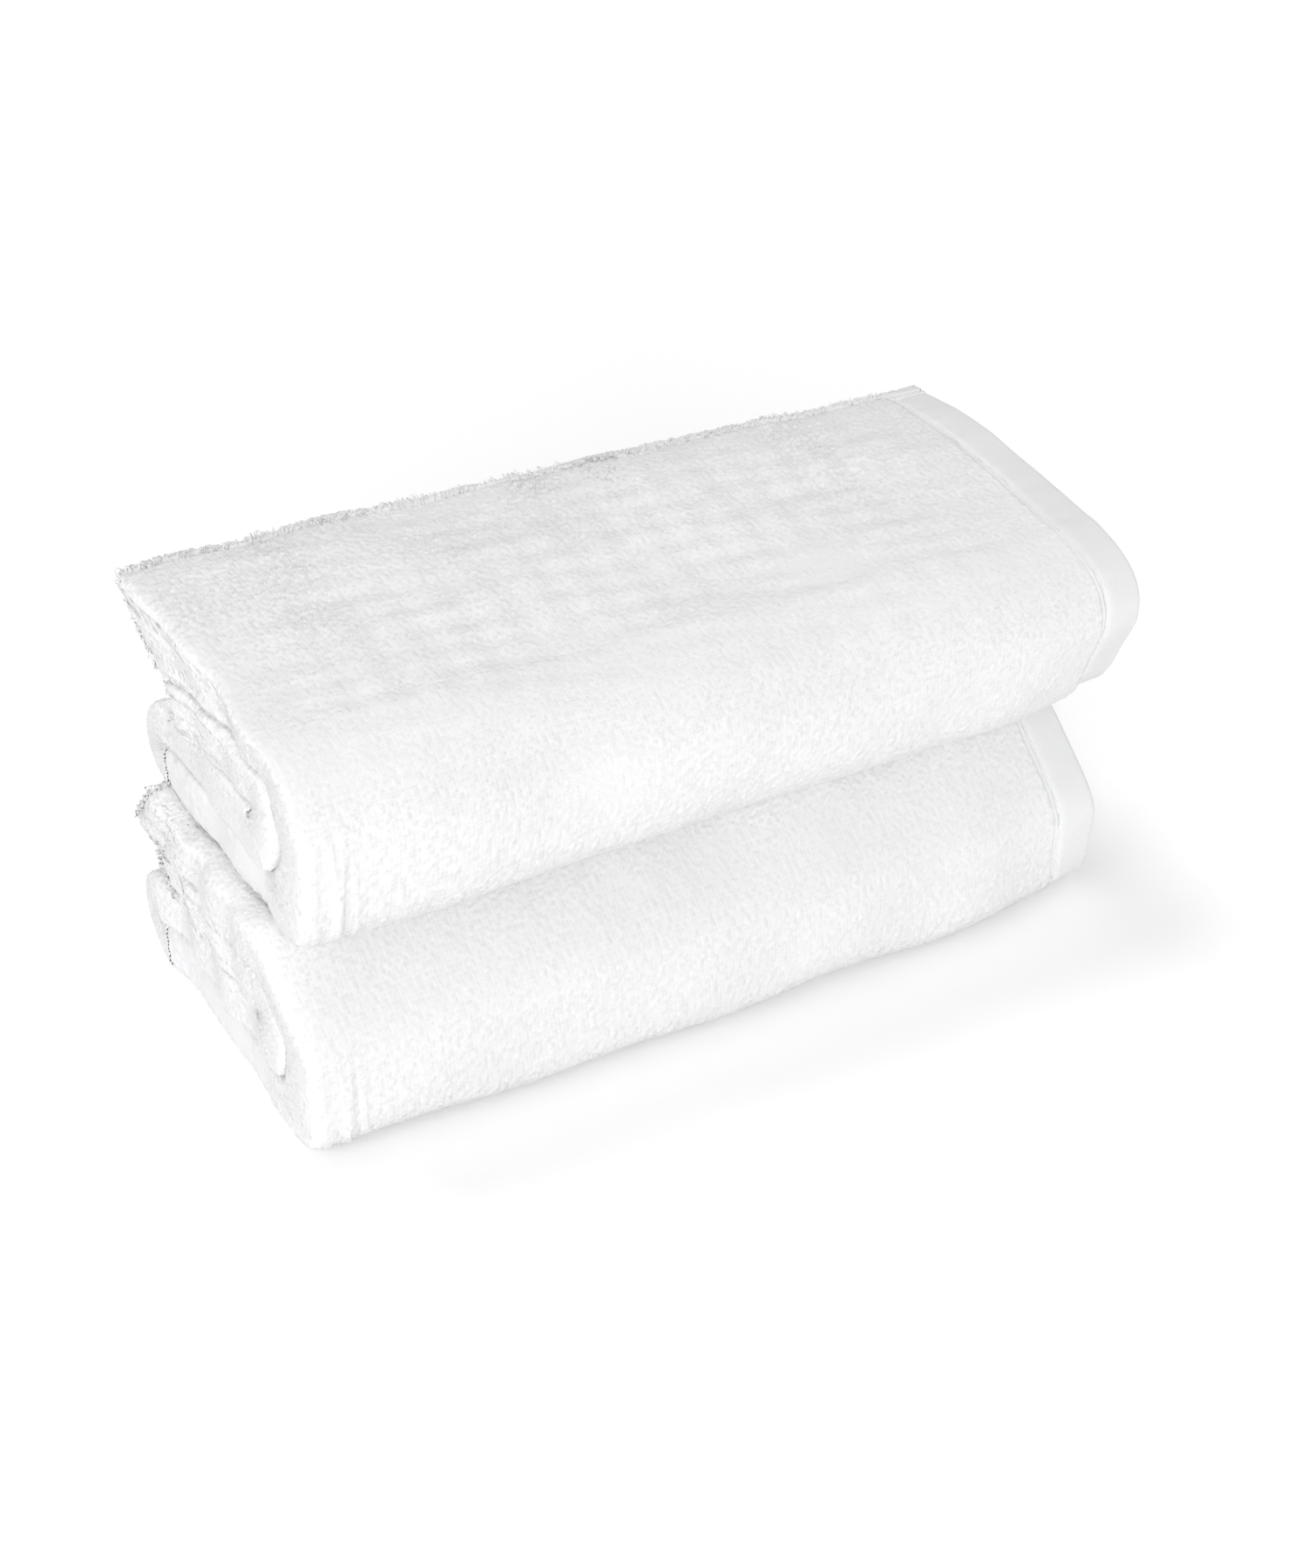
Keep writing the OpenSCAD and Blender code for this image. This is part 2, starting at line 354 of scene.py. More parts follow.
        y2 = y2 + 0.7 * rear_edge * ripple(x, z * 1.5, self.end_waves)
        z2 = z2 + shape["middle_lift"] * fall * np.sin(math.pi * t) + self.base(x, y2)
        above = np.maximum(z2 + self.centre[2], FLOOR_GAP)
        return np.stack([x + self.centre[0], y2 + self.centre[1], above], -1)

    def uv(self, s, w):
        """The cloth's flat place, from 0 to 1 both ways."""
        return np.stack([s / self.across.length, w / along.length], -1)


LOWER_SINK = 0.07


def lower_base(x, y):
    """The lower towel lies on the floor."""
    return 0 * x


def upper_base(x, y):
    """The upper towel lies in the shape of the lower one's top."""
    return -PACKET_T * LOWER_SINK * (1 - smooth(*FALL_Y, y))


LOWER_SHAPE = {
    "front_sink": LOWER_SINK, "square_foot": 0.9, "square_end": 1.0, "foot": 0.012, "recede": 0.014,
    "recede_from": (0.45, 0.9), "bow": 0.005, "round_end": 0.005, "top_wave": 0.0006, "top_streak": 0.0002,
    "ridge": 0.0006, "outer_edge": (0.003, 0.019), "inner_edge": (0.034, 0.018), "rear_skew": 0.011,
    "inner_left": -0.0012, "left_low_in": 0.003, "right_reach": -0.001}
UPPER_SHAPE = {
    "front_sink": 0.150, "rear_rise": 0.030, "square_foot": 0.15, "square_end": 1.0, "foot": 0.006,
    "recede": 0.003, "recede_from": (0.1, 0.4), "bow": 0.005, "round_end": 0.010, "top_wave": 0.0008,
    "top_streak": 0.0004, "ridge": 0.0009, "outer_edge": (0.036, -0.002), "inner_edge": (0.046, 0.041),
    "rear_skew": 0.003, "inner_left": -0.0012, "rear_left_reach": 0.004, "rear_left_sag": 0.007,
    "left_droop": 0.002, "left_tuck": 0.001, "left_hang": 0.006, "right_reach": 0.006, "end_bulge": 0.0035,
    "middle_lift": 0.0085}
lower = Towel("lower", 11, LOWER_SHAPE, lower_base)
upper = Towel("upper", 23, UPPER_SHAPE, upper_base)


# ---------------------------------------------------------------- Meshes

across_at = {}            # each piece's points, as their share of the way across the cloth
PLAIN_HEIGHT = 0.8        # how lit a surface without loops of its own is painted, from the shaded gaps to the tips
CREASE = math.radians(55)


def mesh_piece(name, points, faces, uv, material, heights=None):
    """faces are arrays of three or four columns. uv is the cloth's flat place at each point."""
    sizes = np.concatenate([np.full(len(f), f.shape[1]) for f in faces]).astype(np.int32)
    corners = np.concatenate([f.ravel() for f in faces]).astype(np.int32)
    mesh = bpy.data.meshes.new(name)
    mesh.vertices.add(len(points))
    mesh.vertices.foreach_set("co", points.astype(np.float32).ravel())
    mesh.loops.add(len(corners))
    mesh.loops.foreach_set("vertex_index", corners)
    mesh.polygons.add(len(sizes))
    mesh.polygons.foreach_set("loop_start", np.concatenate([[0], np.cumsum(sizes)[:-1]]).astype(np.int32))
    mesh.polygons.foreach_set("use_smooth", np.ones(len(sizes), bool))
    mesh.update(calc_edges=True)
    layer = mesh.uv_layers.new(name="cloth")
    layer.data.foreach_set("uv", uv[corners].astype(np.float32).ravel())
    # The materials paint shade by this height: darker towards 0, in the low places.
    attribute = mesh.attributes.new("pile_height", "FLOAT", "POINT")
    heights = np.full(len(points), PLAIN_HEIGHT) if heights is None else heights
    attribute.data.foreach_set("value", heights.astype(np.float32))
    mesh.materials.append(material)
    piece = bpy.data.objects.new(name, mesh)
    scene.collection.objects.link(piece)
    across_at[piece.name] = uv[:, 0]
    return piece


def sharp_rims(piece):
    """Shades a piece smoothly, but for its rims."""
    piece.data.set_sharp_from_angle(angle=CREASE)
    return piece


def facing_out(points, faces):
    """The faces of a closed shell, turned the other way where they face inwards."""
    volume = 0.0
    for f in faces:
        a, b, c = points[f[:, 0]], points[f[:, 1]], points[f[:, 2]]
        volume += (a * np.cross(b, c)).sum()
        if f.shape[1] == 4:
            volume += (a * np.cross(c, points[f[:, 3]])).sum()
    return faces if volume > 0 else [f[:, ::-1] for f in faces]


def grid_quads(rows, cols):
    """Quads of a rows x cols grid of points, wound to face along the cloth's outer side."""
    i = np.arange(rows - 1)[:, None] * cols + np.arange(cols - 1)[None, :]
    return np.stack([i, i + 1, i + cols + 1, i + cols], -1).reshape(-1, 4)


def divisions(parts, names, step, fewest):
    """Places along the named parts of a path, closer together round its folds."""
    places = []
    for name in names:
        start, end = parts[name]
        count = max(fewest if "fold" in name or "front" in name else 2, math.ceil((end - start) / step))
        places.append(np.linspace(start, end, count + 1)[0 if not places else 1:])
    return np.concatenate(places)


def closed_strip(name, towel, s, w, h, material, heights=None):
    """A closed band. Rows go along it, and each row's points go round its section."""
    rows, around = s.shape
    points = towel.cloth(s, w, h)
    uv = towel.uv(s, w)
    ends = np.stack([points[0].mean(0), points[-1].mean(0)])
    end_uv = np.stack([uv[0].mean(0), uv[-1].mean(0)])
    i = np.arange(rows - 1)[:, None] * around + np.arange(around)[None, :]
    j = np.arange(rows - 1)[:, None] * around + (np.arange(around)[None, :] + 1) % around
    quads = np.stack([i, j, j + around, i + around], -1).reshape(-1, 4)
    ring = np.arange(around)
    after = (ring + 1) % around
    first = np.stack([np.full(around, rows * around), after, ring], -1)
    last_row = (rows - 1) * around
    last = np.stack([np.full(around, rows * around + 1), last_row + ring, last_row + after], -1)
    points = np.concatenate([points.reshape(-1, 3), ends])
    uv = np.concatenate([uv.reshape(-1, 2), end_uv])
    if heights is not None:
        heights = np.concatenate([heights.ravel(), [0.5, 0.5]])
    return mesh_piece(name, points, facing_out(points, [quads, first, last]), uv, material, heights)


# ---------------------------------------------------------------- The pile

LOOP_SHIFT = (0.17, 0.12)     # how unevenly the loops stand, in loops
LOOP_TALL = (0.76, 1.0)       # how tall they are, as shares of the pile's rise
LOOP_LEAN = 0.45              # how far they turn in their rows, in radians
LOOP_HALF = (0.76, 0.60)      # half a loop's length and width, in loops


class Pile:
    """The loops on one towel's outer face, in rows across the cloth and columns along it."""

    def __init__(self, towel, seed, w0, w1):
        self.towel = towel
        # Columns are even along the tips of the loops, which are further apart round a fold.
        w = np.linspace(w0, w1, 2000)
        x, n, ax, an = along.at(w)
        step = np.hypot(np.diff(x + PILE_TOP * ax), np.diff(n + PILE_TOP * an))
        travelled = np.concatenate([[0], np.cumsum(step)])
        self.cols = round(travelled[-1] / PILE_PITCH)
        self.w_at = lambda b: np.interp(b, travelled / travelled[-1] * self.cols, w)
        self.col_at = lambda place: float(np.interp(place, w, travelled / travelled[-1] * self.cols))
        self.first = {}
        self.count = {}
        total = 0
        for run in RUNS:
            s0, s1 = self.ends(run)
            lengths = []
            for place in (w0, w1):
                line = towel.cloth(np.linspace(s0, s1, 80), place, PILE_TOP)
                lengths.append(np.linalg.norm(np.diff(line, axis=0), axis=1).sum())
            self.first[run] = total
            self.count[run] = max(6, round(max(lengths) / PILE_PITCH))
            total += self.count[run]
        self.rows = total
        rng = np.random.default_rng(seed)
        size = (total + 2, self.cols + 2)
        self.jitter = rng.uniform(-1, 1, (*size, 2)) * LOOP_SHIFT
        self.tall = rng.uniform(*LOOP_TALL, size)
        self.lean = rng.uniform(-LOOP_LEAN, LOOP_LEAN, size)

    def ends(self, run):
        """A run's ends, without the turned edges of the side hems."""
        s0, s1 = self.towel.run[run]
        if run == "outer_top":
            s0 += PILE_FROM_EDGE
        if run == "inner_top":
            s1 -= PILE_FROM_EDGE
        return s0, s1

    def height(self, a, b):
        """The loops' rounded tops, from 0 to 1, at row a and column b."""
        height = np.zeros(a.shape)
        for di in (-1, 0, 1):
            for dj in (-1, 0, 1):
                ci = np.clip(np.floor(a).astype(int) + di + 1, 0, self.rows + 1)
                cj = np.clip(np.floor(b).astype(int) + dj + 1, 0, self.cols + 1)
                da = a - (ci - 0.5 + self.jitter[ci, cj, 0])
                db = b - (cj - 0.5 + self.jitter[ci, cj, 1])
                angle = self.lean[ci, cj]
                e1 = (da * np.cos(angle) + db * np.sin(angle)) / LOOP_HALF[0]
                e2 = (-da * np.sin(angle) + db * np.cos(angle)) / LOOP_HALF[1]
                bump = self.tall[ci, cj] * np.sqrt(np.clip(1 - e1 * e1 - e2 * e2, 0, 1))
                height = np.maximum(height, bump)
        return height

    def skin(self, name, runs, fineness, material, c0=0):
        """The loops' tops over some runs, from column c0 on, with fineness points to a loop."""
        first = self.first[runs[0]]
        count = sum(self.count[run] for run in runs)
        i, j = np.meshgrid(np.arange(count * fineness + 1), np.arange((self.cols - c0) * fineness + 1), indexing="ij")
        a = first + i / fineness
        b = c0 + j / fineness
        if fineness == 2:
            odd = (i % 2 == 1) & (j % 2 == 1)
            ci, cj = np.floor(a).astype(int) + 1, np.floor(b).astype(int) + 1
            a = np.where(odd, ci - 0.5 + self.jitter[ci, cj, 0], a)
            b = np.where(odd, cj - 0.5 + self.jitter[ci, cj, 1], b)
        bump = self.height(a, b)
        s = np.zeros(a.shape)
        for run in runs:
            s0, s1 = self.ends(run)
            here = (a >= self.first[run]) & (a <= self.first[run] + self.count[run])
            s[here] = s0 + (s1 - s0) * (a[here] - self.first[run]) / self.count[run]
        w = self.w_at(b)
        # The rows and columns along a border go down into the ground cloth.
        inside = np.minimum(np.minimum(a, self.rows - a), np.minimum(b - c0, self.cols - b))
        up = np.clip(inside / 0.7, 0, 1)
        up = np.sqrt(up * (2 - up))
        low = GROUND_H - 0.0003
        seam_in = SIDE_HEM_W - THREAD_IN
        seam = np.minimum(abs(s - seam_in), abs(self.towel.across.length - seam_in - s))
        sewn = 0.0006 * np.exp(-(seam / 0.0011) ** 2)
        high = PILE_TOP - PILE_RISE + PILE_RISE * bump + ripple(s, w, self.towel.ply_waves) - sewn
        h = low + (high - low) * up
        points = self.towel.cloth(s, w, h).reshape(-1, 3)
        uv = self.towel.uv(s, w).reshape(-1, 2)
        # The loops' height also paints shade into the colour: darker in the gaps and where the rows go down into the
        # ground cloth.
        return mesh_piece(name, points, [grid_quads(*a.shape)], uv, material, (bump * up).ravel())


def tubes(name, towel, material, centre, side, rise, radius, sides):
    """Short yarns, each a tube with closed ends. centre is yarns x rings x (s, w, h), and side and
    rise are the directions across each ring, in the same terms."""
    count, rings, _ = centre.shape
    angle = np.arange(sides) * 2 * math.pi / sides
    ring = centre[:, :, None, :] + radius * (
        np.cos(angle)[None, None, :, None] * side[:, :, None, :]
        + np.sin(angle)[None, None, :, None] * rise[:, :, None, :])
    s, w, h = ring[..., 0], ring[..., 1], ring[..., 2]
    points = towel.cloth(s, w, h).reshape(-1, 3)
    uv = towel.uv(s, w).reshape(-1, 2)
    one = np.arange(rings - 1)[:, None] * sides
    k = np.arange(sides)[None, :]
    after = (k + 1) % sides
    quads = np.stack([one + k, one + k + sides, one + after + sides, one + after], -1).reshape(-1, 4)
    cap = np.arange(1, sides - 1)
    start = np.stack([np.zeros_like(cap), cap, cap + 1], -1)
    end = (rings - 1) * sides + np.stack([np.zeros_like(cap), cap + 1, cap], -1)
    each = np.arange(count)[:, None, None] * rings * sides
    faces = [(each + f[None]).reshape(-1, f.shape[1]) for f in (quads, start, end)]
    return mesh_piece(name, points, facing_out(points, faces), uv, material)


def stitch_row(name, towel, material, s, w, h, face):
    """A row of stitches. s, w and h are where they go, face is 1 on the outer face and -1 inside."""
    places = np.stack(np.broadcast_arrays(s, w, h), -1)
    travelled = np.concatenate([[0], np.cumsum(np.linalg.norm(np.diff(towel.cloth(s, w, h), axis=0), axis=1))])
    count = max(2, round(travelled[-1] / STITCH))
    t = np.linspace(0, 1, 5)
    at = (np.arange(count)[:, None] + 0.06 + 0.88 * t[None, :]) / count * travelled[-1]
    centre = np.stack([np.interp(at, travelled, places[:, k]) for k in range(3)], -1)
    centre[..., 2] += face * (0.00042 * np.sin(math.pi * t) ** 0.7 - 0.00024)[None, :]
    across = np.zeros_like(centre)
    rise = np.zeros_like(centre)
    rise[..., 2] = 1
    across[..., 1 if abs(places[-1, 0] - places[0, 0]) > abs(places[-1, 1] - places[0, 1]) else 0] = 1
    return tubes(name, towel, material, centre, across, rise, THREAD_R, 5)


def loose_loops(name, pile, material, run, rows, count, seed):
    """Small loops of yarn that stand out of some rows of the pile along a side edge."""
    rng = np.random.default_rng(seed)
    a = rng.uniform(*rows, count)
    b = rng.uniform(1, pile.cols - 1, count)
    s0, s1 = pile.ends(run)
    s = s0 + (s1 - s0) * a / pile.count[run]
    t = np.linspace(0, math.pi, 7)[None, :]
    turn = rng.uniform(0, 2 * math.pi, (count, 1))
    half = rng.uniform(0.00045, 0.0008, (count, 1))
    up = rng.uniform(0.0010, 0.0021, (count, 1))
    tilt = rng.uniform(-0.9, 0.9, (count, 1)) * 0.0012
    foot = PILE_TOP - 0.0008
    ds = half * np.cos(t) * np.cos(turn) - tilt * np.sin(t) * np.sin(turn)
    dw = half * np.cos(t) * np.sin(turn) + tilt * np.sin(t) * np.cos(turn)
    centre = np.stack([s[:, None] + ds, pile.w_at(b)[:, None] + dw, foot + up * np.sin(t)], -1)
    tangent = np.gradient(centre, axis=1)
    tangent /= np.linalg.norm(tangent, axis=-1, keepdims=True)
    plane = np.stack([-np.sin(turn) + 0 * t, np.cos(turn) + 0 * t, 0 * t + 0 * turn], -1)
    rise = np.cross(plane, tangent)
    rise /= np.linalg.norm(rise, axis=-1, keepdims=True)
    side = np.cross(tangent, rise)
    return tubes(name, pile.towel, material, centre, side, rise, YARN_R, 4)


# ---------------------------------------------------------------- Cloth and hems

def in_hems(place, hem, length):
    """1 inside the hems at both ends of a length, and 0 between them."""
    return np.maximum(1 - smooth(hem - 0.003, hem + 0.002, place),
                      smooth(length - hem - 0.002, length - hem + 0.003, place))


def cloth_sheet(name, towel, runs, material, piled):
    """The woven cloth of some runs, closed at its edges. piled says where its outer face has loops
    of its own, as ranges of w."""
    s = divisions(towel.run, runs, 0.006, 12)
    w = divisions(PART, PLIES, 0.007, 9)
    s, w = np.meshgrid(s, w, indexing="ij")
    clear = np.zeros(s.shape)
    for start, end in piled:
        clear = np.maximum(clear, smooth(start - 0.004, start + 0.003, w) * (1 - smooth(end - 0.003, end + 0.004, w)))
    outer = PRESSED_H + (GROUND_H - PRESSED_H) * clear
    inner = np.full(s.shape, PRESSED_H)
    # The cloth is thin inside the hems.
    thin = np.maximum(in_hems(w, HEM_W, along.length), in_hems(s, SIDE_HEM_W, towel.across.length))
    outer = outer + (HEMMED_H - outer) * thin
    inner = inner + (HEMMED_H - inner) * thin
    s = np.clip(s, CLOTH_INSET, towel.across.length - CLOTH_INSET)
    w = np.clip(w, CLOTH_INSET, along.length - CLOTH_INSET)
    rows, cols = s.shape
    top = towel.cloth(s, w, outer).reshape(-1, 3)
    under = towel.cloth(s, w, -inner).reshape(-1, 3)
    quads = grid_quads(rows, cols)
    index = np.arange(rows * cols).reshape(rows, cols)
    rim = np.concatenate([index[0, :-1], index[:-1, -1], index[-1, :0:-1], index[:0:-1, 0]])
    after = np.roll(rim, -1)
    walls = np.stack([rim, rim + rows * cols, after + rows * cols, after], -1)
    points = np.concatenate([top, under])
    uv = np.tile(towel.uv(s, w).reshape(-1, 2), (2, 1))
    faces = [quads, quads[:, ::-1] + rows * cols, walls]
    return sharp_rims(mesh_piece(name, points, facing_out(points, faces), uv, material))


# The points across an end hem, from its inner edge out, closer together at the seam and the turn
HEM_PLACES = (0.0, 0.4, 1.0, 1.7, 2.5, 3.3, 4.2, 6.0, 8.5, 11.0, 13.5, 16.0, 17.6, 18.6, 19.3, 19.8, 20.0)


def end_hem(name, towel, runs, which, material):
    """A flat-woven band across the towel, turned at its outer edge and sewn down at its inner one."""
    s = divisions(towel.run, runs, 0.0017, 40)
    if runs[0] == "outer_top":
        s = s[s > CLOTH_INSET]
    if runs[-1] == "inner_top":
        s = s[s < towel.across.length - CLOTH_INSET]
    # The section, from the inner edge over the outer face to the turned edge and back underneath
    from_inner = np.array(HEM_PLACES) / HEM_PLACES[-1] * HEM_W
    edge = np.sqrt(np.clip(1 - np.clip((from_inner - (HEM_W - HEM_H)) / HEM_H, 0, 1) ** 2, 0, 1))
    dip = 1 - 0.62 * np.exp(-((from_inner - THREAD_IN) / 0.0009) ** 2)
    start = smooth(-0.0004, 0.0012, from_inner)
    body = HEM_H * edge * dip * start
    place = np.concatenate([from_inner, from_inner[-2:0:-1]])
    thick = np.concatenate([body, -body[-2:0:-1]])
    s, place = np.meshgrid(s, place, indexing="ij")
    thick = np.broadcast_to(thick, s.shape).copy()
    rng = np.random.default_rng(310 + which)
    pucker = random_waves(rng, 6, 0.005, 0.014, 0.00028)
    swell = random_waves(rng, 5, 0.04, 0.10, 0.0003)
    near_seam = np.exp(-((place - THREAD_IN) / 0.005) ** 2)
    lift = ripple(s, 0.3 * place, pucker) * near_seam + ripple(s, 2 * place, swell)
    wander = ripple(s, 0 * s, swell) * 0.6
    if which == 0:
        w = HEM_W - place + wander * (place / HEM_W)
    else:
        w = along.length - HEM_W + place - wander * (place / HEM_W)
    return sharp_rims(closed_strip(name, towel, s, w, thick + lift, material))


def side_hem(name, towel, which, material):
    """The narrow side hem, turned with its pile outwards."""
    length = along.length
    count = round(length / 0.00105)
    w = np.linspace(END_INSET, length - END_INSET, count)
    # Across: over the outer face to the turned edge, and back underneath
    steps = 10
    flat = np.linspace(0, 1, steps + 1)
    half = HEM_H + 0.0007
    place = np.concatenate([flat, flat[-2:0:-1]]) * SIDE_HEM_W
    edge = np.sqrt(np.clip(1 - np.clip((place - (SIDE_HEM_W - half)) / half, 0, 1) ** 2, 0, 1))
    start = smooth(-0.0012, 0.0016, place)
    dip = 1 - 0.45 * np.exp(-((place - THREAD_IN) / 0.0008) ** 2)
    sign = np.concatenate([np.ones(steps + 1), -np.ones(steps - 1)])
    thick = sign * half * edge * start * dip
    i, j = np.meshgrid(np.arange(count), np.arange(len(place)), indexing="ij")
    rng = np.random.default_rng(350 + which)
    bump = rng.uniform(0.0, 1.0, i.shape) ** 0.7
    bump = bump * np.where((i + j) % 2 == 0, 1.0, 0.35)
    away = ripple(w, 0 * w, random_waves(rng, 5, 0.02, 0.07, 0.0007))
    place_out = place[None, :] + 0.0007 * bump * (place[None, :] > SIDE_HEM_W - 0.003)
    h = thick[None, :] * (1 + 0.45 * (bump - 0.5)) + 0.25 * away[:, None]
    w = np.broadcast_to(w[:, None], i.shape)
    s = SIDE_HEM_W - place_out + away[:, None] * place[None, :] / SIDE_HEM_W
    if which == 1:
        s = towel.across.length - s
    # The bumps' height also paints shade into the colour: darker where they are low.
    return closed_strip(name, towel, s, w, h, material, heights=bump)


# ---------------------------------------------------------------- Materials

def node_group(name, inputs, outputs):
    """A shader node group with named sockets, and its input and output nodes."""
    group = bpy.data.node_groups.new(name, "ShaderNodeTree")
    for label, kind, value in inputs:
        socket = group.interface.new_socket(label, in_out="INPUT", socket_type=f"NodeSocket{kind}")
        if value is not None:
            socket.default_value = value
    for label, kind in outputs:
        group.interface.new_socket(label, in_out="OUTPUT", socket_type=f"NodeSocket{kind}")
    return group, group.nodes.new("NodeGroupInput"), group.nodes.new("NodeGroupOutput")


def maths(tree, operation, *values):
    """A Math node. values are numbers or sockets."""
    node = tree.nodes.new("ShaderNodeMath")
    node.operation = operation
    for k, value in enumerate(values):
        if isinstance(value, (int, float)):
            node.inputs[k].default_value = value
        else:
            tree.links.new(value, node.inputs[k])
    return node.outputs[0]


def noise(tree, vector, scale, detail):
    """A Noise Texture node. scale is in features to a metre."""
    node = tree.nodes.new("ShaderNodeTexNoise")
    node.inputs["Scale"].default_value = scale
    node.inputs["Detail"].default_value = detail
    tree.links.new(vector, node.inputs["Vector"])
    return node.outputs["Fac"]


def mixed(tree, amount, low, high):
    """A Mix node from one colour to another."""
    node = tree.nodes.new("ShaderNodeMix")
    node.data_type = "RGBA"
    tree.links.new(amount, node.inputs["Factor"])
    tree.links.new(low, node.inputs["A"])
    tree.links.new(high, node.inputs["B"])
    return node.outputs["Result"]


def bumped(tree, height, depth, distance):
    """A Bump node. depth is its strength."""
    node = tree.nodes.new("ShaderNodeBump")
    node.inputs["Distance"].default_value = distance
    tree.links.new(depth, node.inputs["Strength"])
    tree.links.new(height, node.inputs["Height"])
    return node.outputs["Normal"]


FIBRES, YARNS, PATCHES = 2600, 420, 34      # how many of each there are in a metre


def make_cotton_yarn():
    """Spun cotton: fine fibres, painted shade that darkens the gaps between the yarns by their height, and slow
    patches of lighter and darker tone at random.
    """
    group, given, out = node_group(
        "cotton_yarn",
        [("Place", "Vector", None), ("Height", "Float", 0.5), ("Gap Colour", "Color", (0.7, 0.7, 0.72, 1)),
         ("Tip Colour", "Color", (0.8, 0.8, 0.81, 1)), ("Patches", "Float", 0.1), ("Fibre Depth", "Float", 0.4)],
        [("Colour", "Color"), ("Roughness", "Float"), ("Normal", "Vector")])
    place = given.outputs["Place"]
    fibre = noise(group, place, FIBRES, 3)
    patch = noise(group, place, PATCHES, 4)
    fine = noise(group, place, YARNS, 2)
    # Painted shade: the colour runs from the shaded colour of the gaps to the tips' colour by the height.
    shade = maths(group, "POWER", given.outputs["Height"], 0.7)
    drift = maths(group, "MULTIPLY", maths(group, "SUBTRACT", patch, 0.5), given.outputs["Patches"])
    grain = maths(group, "MULTIPLY", maths(group, "SUBTRACT", fine, 0.5), 0.25)
    total = maths(group, "ADD", maths(group, "ADD", shade, drift), grain)
    total = maths(group, "MINIMUM", maths(group, "MAXIMUM", total, 0.0), 1.0)
    colour = mixed(group, total, given.outputs["Gap Colour"], given.outputs["Tip Colour"])
    rough = maths(group, "ADD", maths(group, "MULTIPLY", fibre, 0.12), 0.86)
    height = maths(group, "ADD", fibre, maths(group, "MULTIPLY", fine, 0.6))
    group.links.new(colour, out.inputs["Colour"])
    group.links.new(rough, out.inputs["Roughness"])
    group.links.new(bumped(group, height, given.outputs["Fibre Depth"], 0.0004), out.inputs["Normal"])
    return group


def make_plain_weave():
    """A flat weave: threads that pass over and under one another, in the cloth's own directions."""
    group, given, out = node_group(
        "plain_weave",
        [("Cloth", "Vector", None), ("Threads Across", "Float", 900.0), ("Threads Along", "Float", 1800.0)],
        [("Height", "Float")])
    split = group.nodes.new("ShaderNodeSeparateXYZ")
    group.links.new(given.outputs["Cloth"], split.inputs[0])
    turns = []
    for axis, count in (("X", "Threads Across"), ("Y", "Threads Along")):
        threads = maths(group, "MULTIPLY", split.outputs[axis], given.outputs[count])
        turns.append(maths(group, "MULTIPLY", threads, math.pi))
    across = maths(group, "SINE", turns[0])
    lengthwise = maths(group, "SINE", turns[1])
    crossing = maths(group, "MULTIPLY", across, lengthwise)
    ribs = maths(group, "MULTIPLY", maths(group, "ABSOLUTE", lengthwise), 0.6)
    height = maths(group, "ADD", maths(group, "MULTIPLY", maths(group, "ADD", crossing, 1.0), 0.4), ribs)
    group.links.new(height, out.inputs["Height"])
    return group


cotton_yarn = make_cotton_yarn()
plain_weave = make_plain_weave()


def cotton(name, shaded_gap, tip, patches, fibre_depth, sheen, woven=False):
    """A white cotton finish with painted shade by the pile's height, or, with woven, by a flat weave's: darker where
    it is low.
    """
    material = bpy.data.materials.new(name)
    material.use_nodes = True
    tree = material.node_tree
    shader = tree.nodes["Principled BSDF"]
    shader.inputs["Sheen Weight"].default_value = sheen
    shader.inputs["Sheen Roughness"].default_value = 0.5
    shader.inputs["Specular IOR Level"].default_value = 0.2
    yarn = tree.nodes.new("ShaderNodeGroup")
    yarn.node_tree = cotton_yarn
    yarn.inputs["Gap Colour"].default_value = shaded_gap
    yarn.inputs["Tip Colour"].default_value = tip
    yarn.inputs["Patches"].default_value = patches
    yarn.inputs["Fibre Depth"].default_value = fibre_depth
    place = tree.nodes.new("ShaderNodeTexCoord")
    tree.links.new(place.outputs["Object"], yarn.inputs["Place"])
    normal = yarn.outputs["Normal"]
    if woven:
        cloth = tree.nodes.new("ShaderNodeUVMap")
        cloth.uv_map = "cloth"
        weave_node = tree.nodes.new("ShaderNodeGroup")
        weave_node.node_tree = plain_weave
        tree.links.new(cloth.outputs["UV"], weave_node.inputs["Cloth"])
        # The weave's height paints shade into the colour: darker where the threads dip.
        tree.links.new(weave_node.outputs["Height"], yarn.inputs["Height"])
        relief = tree.nodes.new("ShaderNodeBump")
        relief.inputs["Distance"].default_value = 0.0002
        relief.inputs["Strength"].default_value = 0.45
        tree.links.new(weave_node.outputs["Height"], relief.inputs["Height"])
        tree.links.new(normal, relief.inputs["Normal"])
        normal = relief.outputs["Normal"]
    else:
        # The pile's height paints shade into the colour: darker in the gaps between the loops.
        attribute = tree.nodes.new("ShaderNodeAttribute")
        attribute.attribute_name = "pile_height"
        tree.links.new(attribute.outputs["Fac"], yarn.inputs["Height"])
    tree.links.new(yarn.outputs["Colour"], shader.inputs["Base Color"])
    tree.links.new(yarn.outputs["Roughness"], shader.inputs["Roughness"])
    tree.links.new(normal, shader.inputs["Normal"])
    return material


